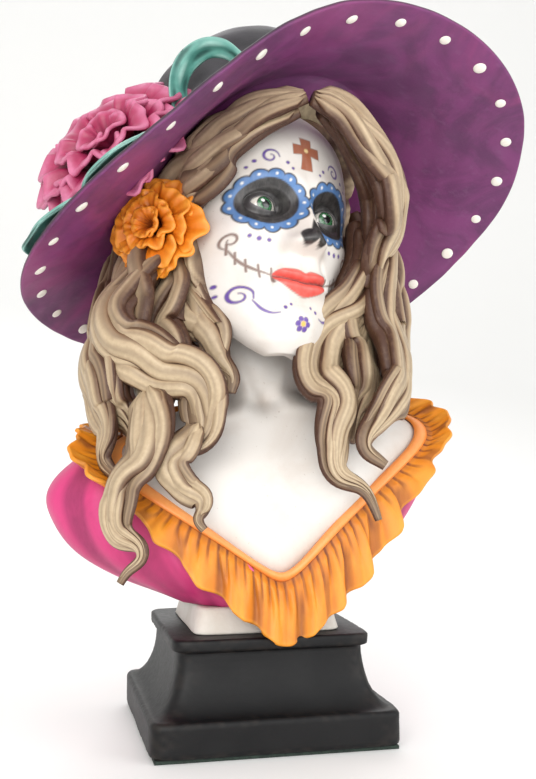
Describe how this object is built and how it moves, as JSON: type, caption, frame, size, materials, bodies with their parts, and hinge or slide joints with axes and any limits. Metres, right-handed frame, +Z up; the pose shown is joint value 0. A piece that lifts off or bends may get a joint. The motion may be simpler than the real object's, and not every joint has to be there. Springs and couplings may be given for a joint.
{
  "type": "papier-mache catrina bust",
  "caption": "Hand-painted bust of a skull-faced figure in a wide dotted hat with flowers, ruffled off-shoulder dress and wavy hair, on a moulded square plinth.",
  "frame": {"origin": "centre of the plinth's underside, on the resting surface", "axes": "+Z up, -Y the front of the plinth and chest, +X to the right of a viewer who faces the front"},
  "size_m": [0.2575, 0.1898, 0.3546],
  "materials": {
    "dot_white": "raised off-white paint dots",
    "dress_pink": "hot pink paint, satin",
    "eye_paint": "white paint, painted iris, gloss varnish",
    "felt": "black felt sheet",
    "flower_orange": "orange paint, burnt wash in the folds",
    "flower_pink": "crimson paint, pale pink dry-brushed rims",
    "hair_paint": "beige paint with brown wash in the strands",
    "hat_black": "black paint with grey dry-brushing",
    "hat_purple": "mottled purple paint, satin",
    "plaster": "cast plaster",
    "plinth_black": "charcoal paint over moulded paper, brown wash on worn edges",
    "raw_paper": "raw pressed paper",
    "ribbon_teal": "teal paint with pale dry-brushed edges",
    "ruffle_orange": "yellow-orange paint, brown wash in the pleats",
    "skin_paint": "off-white paint with hand-painted ornaments, satin",
    "steel": "zinc-plated steel",
    "white_paint": "off-white paint",
    "wood": "bare softwood"
  },
  "bodies": {
    "root": {"armature_post": "wood", "base_felt": "felt", "bottom_board": "wood", "brim_dots": "dot_white", "ceiling_washer": "steel", "chest_and_neck_shell": "skin_paint", "crown_core": "raw_paper", "dress_shell": "dress_pink", "ear_flower_cup": "flower_orange", "ear_flower_heart": "flower_orange", "ear_flower_inner_petals": "flower_orange", "ear_flower_middle_petals": "flower_orange", "ear_flower_outer_petals": "flower_orange", "eye_left": "eye_paint", "eye_right": "eye_paint", "face_mask": "skin_paint", "hair_back_left": "hair_paint", "hair_back_middle": "hair_paint", "hair_back_right": "hair_paint", "hair_cap": "hair_paint", "hair_lock_left_curl": "hair_paint", "hair_lock_left_front": "hair_paint", "hair_lock_left_inner": "hair_paint", "hair_lock_left_long": "hair_paint", "hair_lock_left_outer": "hair_paint", "hair_lock_right_inner": "hair_paint", "hair_lock_right_outer": "hair_paint", "hair_part_left": "hair_paint", "hair_part_right": "hair_paint", "hair_side_left": "hair_paint", "hair_side_right": "hair_paint", "hat_brim": "hat_purple", "hat_crown": "hat_black", "hat_flower_cup": "flower_pink", "hat_flower_heart": "flower_pink", "hat_flower_inner_petals": "flower_pink", "hat_flower_middle_petals": "flower_pink", "hat_flower_outer_petals": "flower_pink", "hat_ribbon_band": "ribbon_teal", "neckline_piping": "ruffle_orange", "plaster_ballast": "plaster", "plinth_shell": "plinth_black", "post_screw": "steel", "ribbon_loop": "ribbon_teal", "ribbon_tail_front": "ribbon_teal", "ribbon_tail_left": "ribbon_teal", "ruffle_collar": "ruffle_orange", "skull_back": "raw_paper", "socle_block": "white_paint"}
  },
  "joints": []
}
